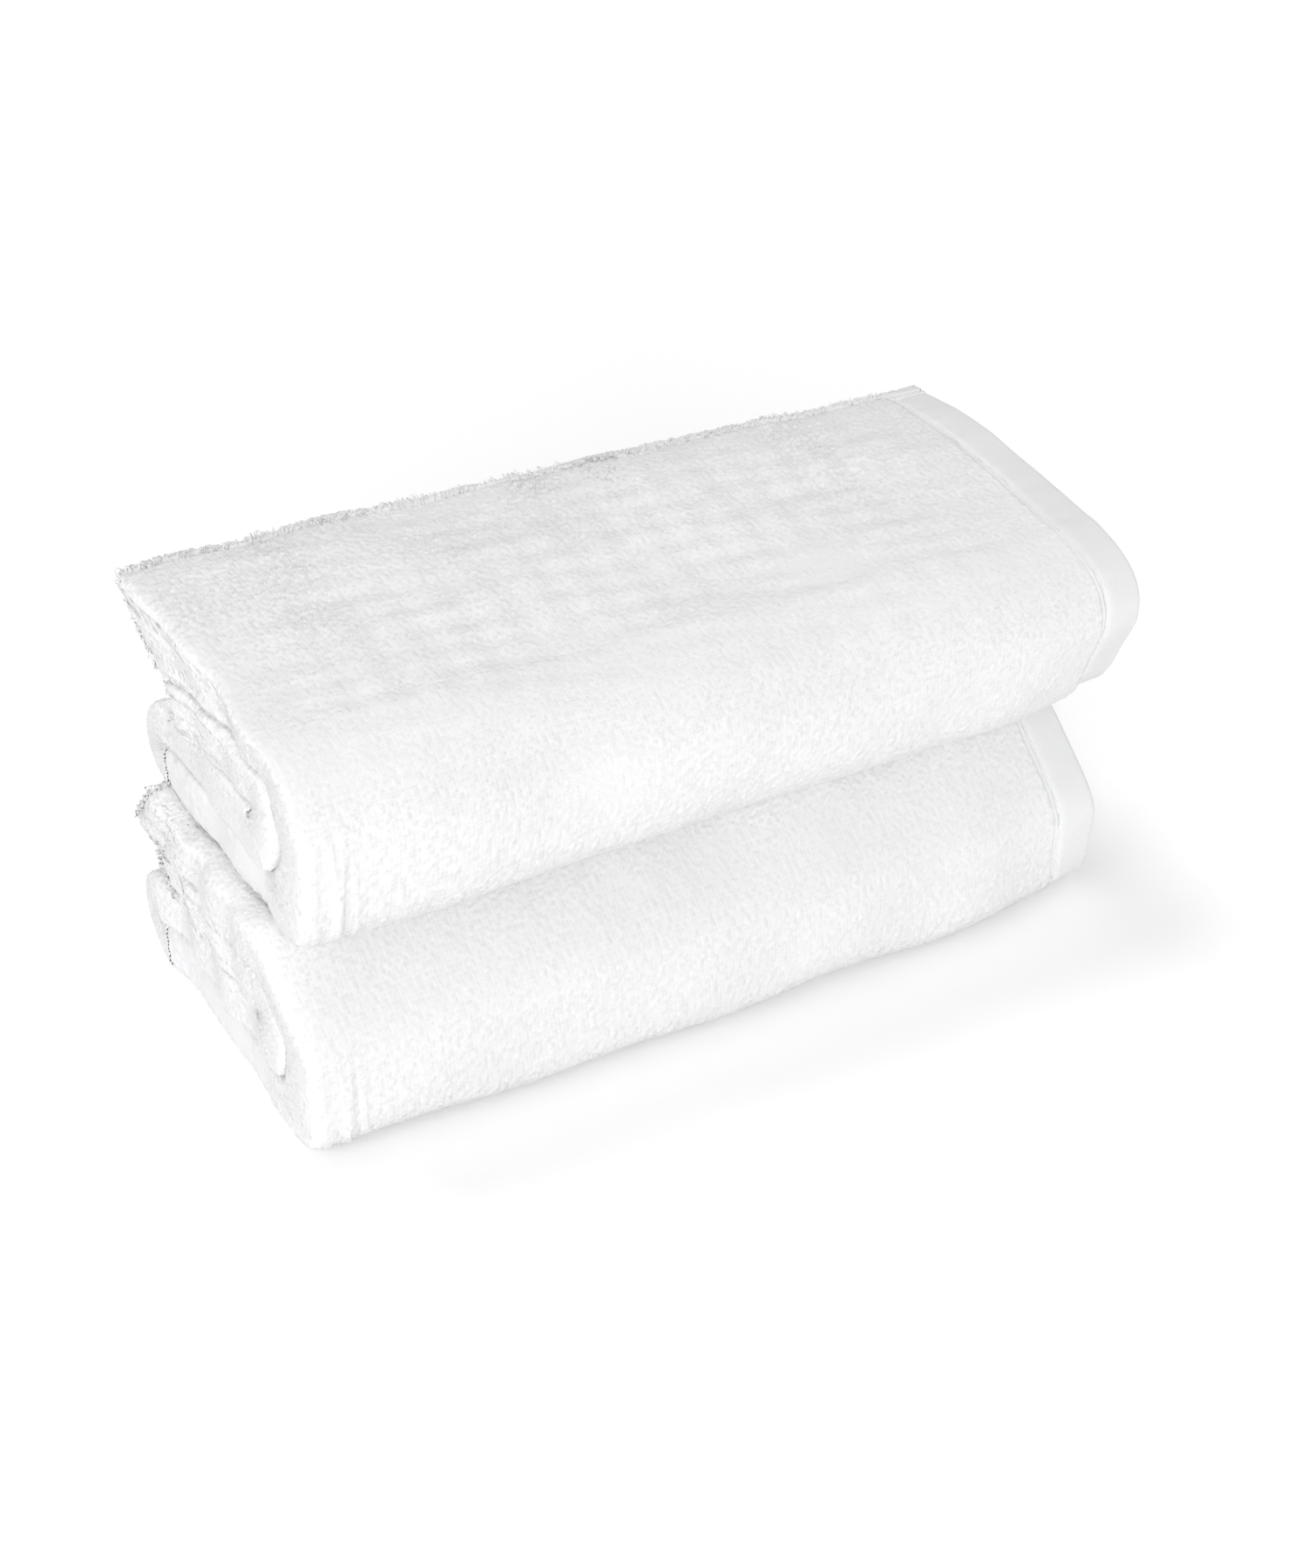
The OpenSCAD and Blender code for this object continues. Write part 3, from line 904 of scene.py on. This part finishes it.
# Each finish's first colour is painted shade: the colour of its low places, where the pile or weave is darker.
terry_pile = cotton(
    "white_terry_pile", shaded_gap=(0.770, 0.770, 0.782, 1), tip=(0.875, 0.875, 0.877, 1),
    patches=0.5, fibre_depth=0.35, sheen=0.12)
pressed_pile = cotton(
    "white_pressed_pile", shaded_gap=(0.78, 0.78, 0.79, 1), tip=(0.86, 0.86, 0.865, 1),
    patches=0.6, fibre_depth=0.6, sheen=0.12)
flat_weave = cotton(
    "white_flat_weave", shaded_gap=(0.75, 0.75, 0.757, 1), tip=(0.795, 0.795, 0.80, 1),
    patches=0.3, fibre_depth=0.25, sheen=0.08, woven=True)
thread_white = cotton(
    "white_sewing_thread", shaded_gap=(0.80, 0.80, 0.81, 1), tip=(0.85, 0.85, 0.855, 1),
    patches=0.2, fibre_depth=0.3, sheen=0.0)

# ---------------------------------------------------------------- The pieces

# Where the cloth's outer face shows loops: from the first end hem to past the closed end's fold, and
# round the fold at the hem end. Between them it's pressed flat.
PILE_W = (HEM_W, PART["left_fold"][1] + 0.020)
RIGHT_FOLD_W = (PART["right_fold"][0] - 0.014, PART["right_fold"][1] + 0.014)
HIDDEN_PILE = 0.030       # an inner turn's loops start this far before the closed end's fold
EDGE_LOOPS = 520          # loose loops along each side edge
BOTTOM_RUNS = ("outer_bottom", "back_fold", "inner_bottom")
NODE_OF_RUN = {
    "outer_top": "outer_top_panel", "outer_front": "outer_front_fold", "outer_bottom": "outer_bottom_panel",
    "back_fold": "back_fold", "inner_bottom": "inner_bottom_panel", "inner_front": "inner_front_fold",
    "inner_top": "inner_top_panel"}
UNDERSIDE = "outer_bottom"       # it has fewer points to a loop
WHICH = ("first", "second")
# How the CAD's end hems name the part that a sheet covers
HEM_NODE_PART = {"": "", "_base": "_bottom", "_outer_front": "_front", "_flap_outer": "_top"}
SIDE_SEAM_H = 0.0013      # how far a side hem's stitches lie from the cloth's middle

# A sheet's pieces: its name, its runs, and the bodies that it follows
SHEETS = [
    (lower, "lower_cloth", RUNS, "lower_towel"),
    (upper, "upper_cloth_base", BOTTOM_RUNS, "upper_towel"),
    (upper, "upper_cloth_outer_front", ("outer_front",), None),
    (upper, "upper_cloth_inner_front", ("inner_front",), None),
    (upper, "upper_cloth_flap_outer", ("outer_top",), "upper_flap"),
    (upper, "upper_cloth_flap_inner", ("inner_top",), "upper_flap")]


def follow(piece, body, runs):
    """body is None for a piece of the upper towel's front fold: its transform is baked in, and it is attached to no
    body.
    """
    if body is not None:
        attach(piece, body)
        return
    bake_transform(piece)
    # Each point's share of the way along the cloth, from the packet's base to its flap, is worked out here but not
    # used.
    s0, s1 = upper.run[runs[0]]
    at_base, at_flap = (s1, s0) if runs[0] == "outer_front" else (s0, s1)
    share = np.clip((across_at[piece.name] * upper.across.length - at_base) / (at_flap - at_base), 0, 1)
    if runs[0] == "outer_front":
        share = np.where(share < 0.5, 2 * share ** 2, share)      # the share grows slowly near its foot


def woven_width(towel, runs):
    """How wide the cloth is over some runs, as the mean of its four plies."""
    widths = []
    for ply in ("a1", "a2", "b1", "b2"):
        for run in runs:
            line = towel.cloth(np.linspace(*towel.run[run], 80), sum(PART[ply]) / 2, 0.0)
            widths.append(np.linalg.norm(np.diff(line, axis=0), axis=1).sum())
    return sum(widths) / 4


piles = {towel.name: Pile(towel, 100 + k, *PILE_W) for k, towel in enumerate((lower, upper))}
fold_piles = {towel.name: Pile(towel, 140 + k, *RIGHT_FOLD_W) for k, towel in enumerate((lower, upper))}

for towel, cloth_name, runs, body in SHEETS:
    sheet = cloth_sheet(cloth_name, towel, runs, pressed_pile, (PILE_W, RIGHT_FOLD_W))
    pile = piles[towel.name]
    name = towel.name

    def add(piece, slot, *nodes):
        follow(piece, body, runs)
        if nodes:
            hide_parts(*nodes)

    for run in runs:
        fine = 1 if run == UNDERSIDE else 2
        c0 = 0
        if run == "inner_front" or (name == "lower" and run.startswith("inner")):
            c0 = int(pile.col_at(PART["left_fold"][0] - HIDDEN_PILE))
        add(pile.skin(f"{name}_{run}_pile", (run,), fine, terry_pile, c0=c0), "terry", f"{name}_{NODE_OF_RUN[run]}")
    fold_skin = fold_piles[name].skin(f"{cloth_name}_hem_end_fold_pile", runs, 1, terry_pile)
    add(fold_skin, "terry")

    part = cloth_name.replace(name + "_cloth", "")
    node_part = HEM_NODE_PART.get(part)
    for k in (0, 1):
        hem_name = f"{name}_{WHICH[k]}_end_hem"
        nodes = [] if node_part is None else [hem_name + node_part, f"{hem_name}_thread{node_part}"]
        add(end_hem(f"{hem_name}_band{part}", towel, runs, k, flat_weave), "flat_hem", *nodes[:1])
        s = divisions(towel.run, runs, 0.002, 30)
        seam_w = HEM_W - THREAD_IN if k == 0 else along.length - HEM_W + THREAD_IN
        for face, side in ((1, "outside"), (-1, "inside")):
            stitches = stitch_row(f"{hem_name}{part}_stitches_{side}", towel, thread_white,
                                  s, seam_w, face * HEM_H * 0.55, face)
            add(stitches, "sewing_thread", *(nodes[1:] if face == 1 else ()))

    for k, run in enumerate(("outer_top", "inner_top")):
        if run not in runs:
            continue
        side_name = f"{name}_{WHICH[k]}_side"
        add(side_hem(f"{side_name}_hem_band", towel, k, terry_pile), "terry", f"{side_name}_hem")
        rows = (0.1, 2.4) if k == 0 else (pile.count[run] - 2.4, pile.count[run] - 0.1)
        add(loose_loops(f"{side_name}_edge_loops", pile, terry_pile, run, rows, EDGE_LOOPS, 500 + k), "terry")
        w = divisions(PART, PLIES, 0.003, 14)
        w = w[(w > 0.003) & (w < along.length - 0.003)]
        seam_s = SIDE_HEM_W - THREAD_IN if k == 0 else towel.across.length - SIDE_HEM_W + THREAD_IN
        for face, side in ((1, "outside"), (-1, "inside")):
            stitches = stitch_row(f"{side_name}_hem_stitches_{side}", towel, thread_white,
                                  seam_s, w, face * SIDE_SEAM_H, face)
            add(stitches, "sewing_thread", *((f"{side_name}_hem_thread",) if face == 1 else ()))

    follow(sheet, body, runs)
    share = woven_width(towel, runs) / woven_width(towel, RUNS)

# ---------------------------------------------------------------- Floor, light and camera

FLOOR_GLOW = 0.15         # seen by the camera only, so that the open floor is white
FLOOR_WHITE = (0.99, 0.99, 0.99, 1)
bpy.ops.mesh.primitive_plane_add(size=14, location=(0, 0, 0))
floor = bpy.context.object
floor.name = "floor"
floor_material = bpy.data.materials.new("pale_floor")
floor_material.use_nodes = True
floor_shader = floor_material.node_tree.nodes["Principled BSDF"]
floor_shader.inputs["Base Color"].default_value = FLOOR_WHITE
floor_shader.inputs["Roughness"].default_value = 0.9
floor_shader.inputs["Specular IOR Level"].default_value = 0.0
floor_shader.inputs["Emission Color"].default_value = (1, 1, 1, 1)
lit = floor_material.node_tree.nodes.new("ShaderNodeLightPath")
floor_material.node_tree.links.new(
    maths(floor_material.node_tree, "MULTIPLY", lit.outputs["Is Camera Ray"], FLOOR_GLOW),
    floor_shader.inputs["Emission Strength"])
floor.data.materials.append(floor_material)

world = bpy.data.worlds.new("studio")
scene.world = world
world.use_nodes = True
surround = world.node_tree.nodes["Background"]
surround.inputs["Color"].default_value = (0.995, 0.996, 1.0, 1)
surround.inputs["Strength"].default_value = 0.48


def studio_light(name, kind, towards, strength, place=(0, 0, 0)):
    """A light of the studio. towards points from the towels to the light."""
    data = bpy.data.lights.new(name, kind)
    data.energy = strength
    light = bpy.data.objects.new(name, data)
    light.location = place
    light.rotation_euler = Vector(towards).to_track_quat("Z", "Y").to_euler()
    scene.collection.objects.link(light)
    return data


SOFTBOX_AT = (-0.75, -0.35, 0.55)
AIM_HEIGHT = 0.08         # the softbox points at the middle of the stack's height
studio_light("front_light", "SUN", (-0.27, -0.46, 0.17), 1.76).angle = math.radians(35)
studio_light("back_light", "SUN", (-0.03, 0.12, 0.23), 0.82).angle = math.radians(22)
softbox_from_stack = (*SOFTBOX_AT[:2], SOFTBOX_AT[2] - AIM_HEIGHT)
studio_light("side_softbox", "AREA", softbox_from_stack, 1.0, SOFTBOX_AT).size = 0.5

CAMERA_AT = (-0.3944, -0.688, 0.516)
CAMERA_AZIMUTH = math.radians(-30.5)
CAMERA_PITCH = math.radians(30.0)
CAMERA_LENS = 53.0        # in millimetres, on a sensor of 36
camera_data = bpy.data.cameras.new("camera")
camera_data.lens = CAMERA_LENS
camera_data.sensor_width = 36
camera = bpy.data.objects.new("camera", camera_data)
camera.location = CAMERA_AT
camera.rotation_euler = (math.pi / 2 - CAMERA_PITCH, 0, CAMERA_AZIMUTH)
scene.collection.objects.link(camera)
scene.camera = camera
scene.view_settings.view_transform = "Standard"
